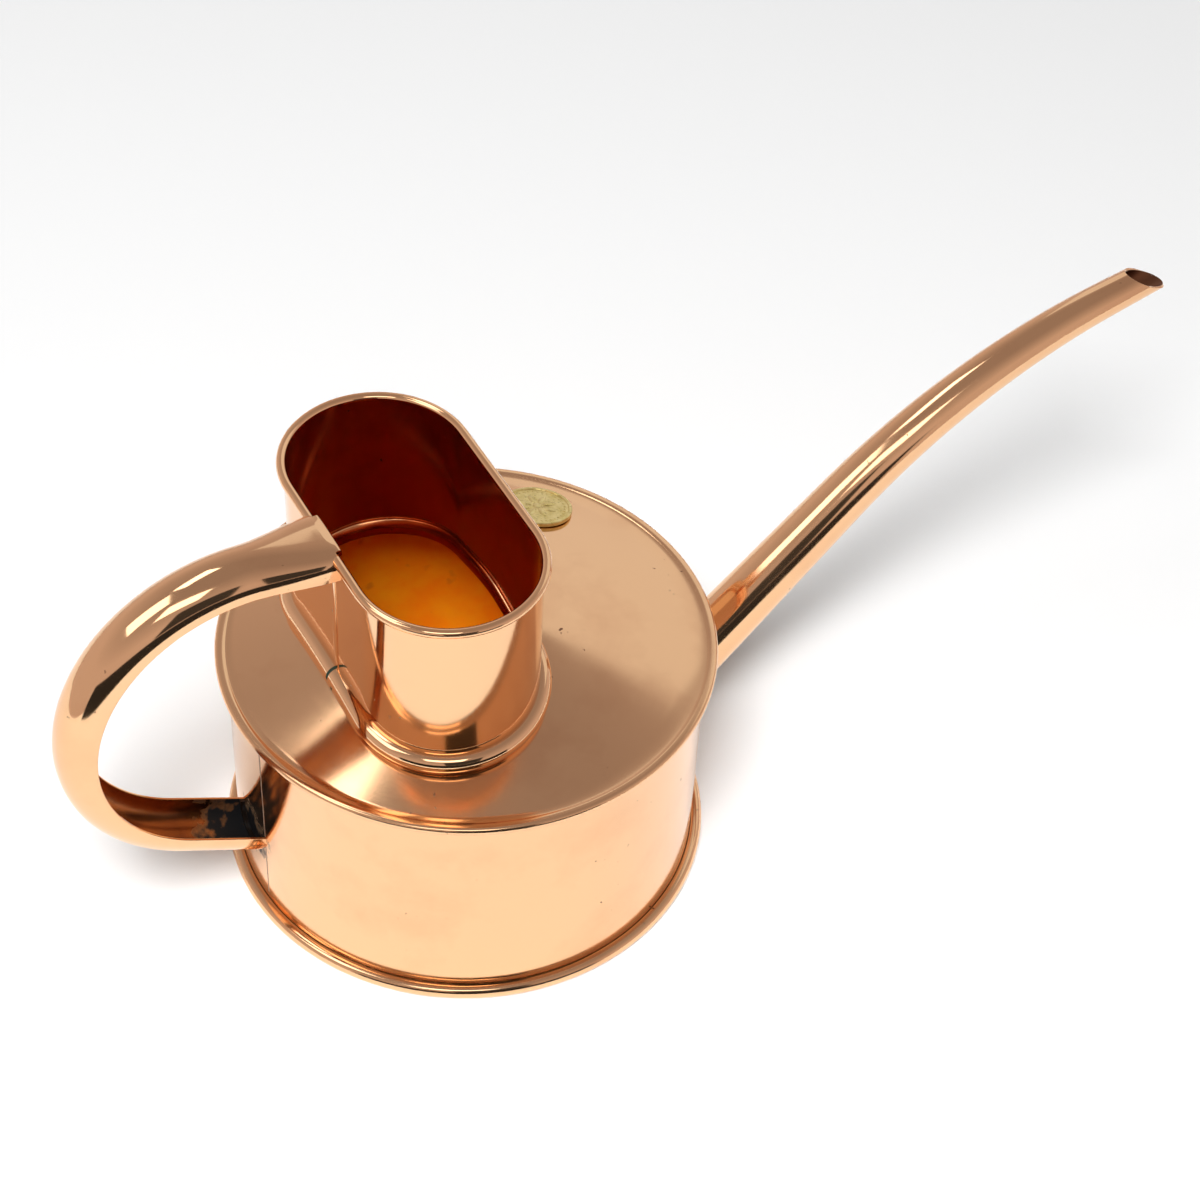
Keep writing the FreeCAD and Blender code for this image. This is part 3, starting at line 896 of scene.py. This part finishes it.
# A tube along the spout: its radius, and how far its middle lies below the spout's own, at each distance.
def spoutSweep(bm, radiusAt, dropAt, segments):
    last = None
    for at, angle, run in spoutLine():
        middle = at - heading(angle + 90) * dropAt(run)
        size = Matrix.Scale(radiusAt(run), 4)
        stand = Matrix.Translation(middle) @ Matrix.Rotation(math.radians(90 - angle), 4, "Y") @ size
        if last is None:
            bmesh.ops.create_circle(bm, cap_ends=False, segments=segments, radius=1, matrix=stand)
            ring = bm.edges[:]
        else:
            ring, verts = grow(bm, ring)
            bmesh.ops.transform(bm, matrix=stand @ last.inverted(), verts=verts)
        last = stand


def cutMouth(bm):
    end, angle, run = spoutLine()[-2]
    cut = end + heading(angle) * spout["tipStraight"]
    bmesh.ops.bisect_plane(bm, geom=bm.verts[:] + bm.edges[:] + bm.faces[:], plane_co=cut,
                           plane_no=heading(spout["tipCut"]), clear_outer=True)


def trimToDrum(bm, reach):
    axis = heading(spout["angle"])
    inside = (drumRadius - spout["runIn"] + 1, 0, 0)
    bmesh.ops.bisect_plane(bm, geom=bm.verts[:] + bm.edges[:] + bm.faces[:], plane_co=inside,
                           plane_no=(-1, 0, 0), clear_outer=True)
    for v in bm.verts:
        if math.hypot(v.co.x, v.co.y) < reach:
            b = v.co.x * axis.x
            c = v.co.x ** 2 + v.co.y ** 2 - reach ** 2
            a = axis.x ** 2
            v.co += axis * ((-b + math.sqrt(b * b - a * c)) / a)


def makeSpout(finishes):
    bm = bmesh.new()
    spoutSweep(bm, spoutRadius, lambda run: 0, 72)
    cutMouth(bm)
    trimToDrum(bm, drumRadius - sheet / 2)
    # the spout's inner side takes the bore's painted shade
    finishPiece("spout_pipe", bm, [finishes["spout"], finishes["bore"]], ["spout_tube"],
                thickness=sheet, round=spout["edgeRound"], sharp=50)


spoutSeam = {
    "radius": 0.45,
    "sunk": 0.28,          # its middle, in from the spout's outside
}


def makeSpoutSeam(finishes):
    bm = bmesh.new()
    spoutSweep(bm, lambda run: spoutSeam["radius"], lambda run: spoutRadius(run) - spoutSeam["sunk"], 10)
    cutMouth(bm)
    trimToDrum(bm, drumRadius)
    bmesh.ops.holes_fill(bm, edges=[e for e in bm.edges if e.is_boundary])
    finishPiece("spout_seam", bm, [finishes["seamSolder"]], ["spout_seam_solder"])


spoutFillet = {
    "leg": 1.2,
    "tuck": 0.15,          # how far it goes into the spout and the drum
    "steps": 6,
}


# Solder runs round the spout's foot in a hollow fillet.
def makeSpoutFillet(finishes):
    leg, tuck, steps = spoutFillet["leg"], spoutFillet["tuck"], spoutFillet["steps"]
    foot = Vector((drumRadius, 0, spout["height"]))
    bm = bmesh.new()
    axis = heading(spout["angle"])
    stand = Matrix.Translation(foot) @ Matrix.Rotation(math.radians(90 - spout["angle"]), 4, "Y")
    bmesh.ops.create_circle(bm, cap_ends=False, segments=72, radius=1, matrix=stand)
    ring = bm.edges[:]
    for i in range(steps + 1):
        turn = math.pi / 2 * i / steps
        out = spout["footRadius"] - tuck + leg * (1 - math.sin(turn))
        up = leg * (1 - math.cos(turn)) - tuck
        if i:
            ring, verts = grow(bm, ring)
        else:
            verts = bm.verts[:]
        for v in verts:
            flat = v.co - foot
            flat = (flat - axis * flat.dot(axis)).normalized()
            place = foot + flat * out
            b = place.x * axis.x
            c = place.x ** 2 + place.y ** 2 - drumRadius ** 2
            v.co = place + axis * ((-b + math.sqrt(b * b - axis.x ** 2 * c)) / axis.x ** 2 + up)
    finishPiece("spout_fillet", bm, [finishes["brownSolder"]], ["spout_solder"])


badge = {
    "radius": 10.0,
    "thickness": 1.3,
    "rim": 1.1,
    "relief": 0.3,
    "distance": 50.3,      # its middle from the drum's axis
    "angle": 40.8,         # degrees from +X
    "lift": 0.1,           # above the cone, on its solder
    "beads": 36,
    "beadSize": (0.42, 0.42, 0.2),
    "petals": 8,
    "petalSize": (2.3, 0.95, 0.34),
    "petalMiddle": 3.6,
    "bossSize": (1.3, 1.3, 0.4),
}


# A place on the badge's face, with the size of what stands there.
def onBadge(turn, out, z, size):
    return Matrix.Rotation(turn, 4, "Z") @ Matrix.Translation((out, 0, z)) @ Matrix.Diagonal((*size, 1))


def makeBadge(finishes):
    b = badge
    field = b["radius"] - b["rim"]
    low = b["thickness"] - b["relief"]
    bm = bmesh.new()
    pen = bm.verts.new((0, 0, 0))
    pen = lineTo(bm, pen, b["radius"] - 0.2, 0)
    pen = arcTo(bm, pen, b["radius"] - 0.2, 0.2, 90, 4)
    pen = lineTo(bm, pen, b["radius"], b["thickness"] - 0.3)
    pen = arcTo(bm, pen, b["radius"] - 0.3, b["thickness"] - 0.3, 90, 6)
    pen = lineTo(bm, pen, field + 0.2, b["thickness"])
    pen = lineTo(bm, pen, field, low)
    lineTo(bm, pen, 0, low)
    spinRound(bm, 96)
    # a plain rosette and a ring of beads, worn almost flat
    for i in range(b["beads"]):
        bead = onBadge(math.tau * i / b["beads"], field - 1.0, low, b["beadSize"])
        bmesh.ops.create_icosphere(bm, subdivisions=1, radius=1, matrix=bead)
    for i in range(b["petals"]):
        petal = onBadge(math.tau * i / b["petals"], b["petalMiddle"], low - 0.05, b["petalSize"])
        bmesh.ops.create_uvsphere(bm, u_segments=16, v_segments=8, radius=1, matrix=petal)
    boss = onBadge(0, 0, low - 0.05, b["bossSize"])
    bmesh.ops.create_uvsphere(bm, u_segments=20, v_segments=10, radius=1, matrix=boss)
    rise = Vector((math.sin(slope), 0, math.cos(slope)))
    at = Vector((b["distance"], 0, coneTop(b["distance"], 0))) + rise * b["lift"]
    turn = Matrix.Rotation(math.radians(b["angle"]), 4, "Z")
    stand = turn @ Matrix.Translation(at) @ Matrix.Rotation(slope, 4, "Y")
    bmesh.ops.transform(bm, matrix=stand, verts=bm.verts)
    finishPiece("badge_disc", bm, [finishes["brass"]], ["badge"])


drumSeam = {
    "angle": 186.5,        # degrees, so that it comes down from under the handle
    "width": 0.5,
    "proud": 0.06,
    "round": 0.05,
}


# A fine line of solder down the drum's own seam.
def makeDrumSeam(finishes):
    low, high = boxOf("drum_seam_solder")
    bm = uprightStrip(drumRadius, 0, drumSeam["proud"], drumSeam["width"], low.z, high.z, drumSeam["round"])
    turn = Matrix.Rotation(math.radians(drumSeam["angle"]), 3, "Z")
    bmesh.ops.rotate(bm, matrix=turn, verts=bm.verts)
    finishPiece("drum_seam", bm, [finishes["drumLineSolder"]], ["drum_seam_solder"], sharp=60)


# CAD nodes that stay as they are and only take a finish.
def dressNodes(finishes):
    looks = {
        "foot_wire": "drawnWire",
        "rim_wire": "drawnWire",
        "base_solder": "fluxedSolder",
        "collar_solder": "verdigrisSolder",
        "handle_top_solder": "fluxedSolder",
        "handle_foot_solder": "burntFlux",
        "badge_solder": "fluxedSolder",
    }
    for name, look in looks.items():
        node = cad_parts[name]
        node.data.materials.clear()
        node.data.materials.append(finishes[look])
    print("dressed", len(looks), "nodes")


bpy.context.scene.view_settings.view_transform = "Standard"
makeCamera()
makeFloor()
makeLights()
makeWorld()
print("studio ready")
finishes = makeFinishes()
makeDrumWall(finishes)
makeBase(finishes)
makeShoulder(finishes)
makeNeck(finishes)
makeCollar(finishes)
makeNeckSeam(finishes)
makeHandle(finishes)
makeSpout(finishes)
makeSpoutSeam(finishes)
makeSpoutFillet(finishes)
makeBadge(finishes)
makeDrumSeam(finishes)
dressNodes(finishes)
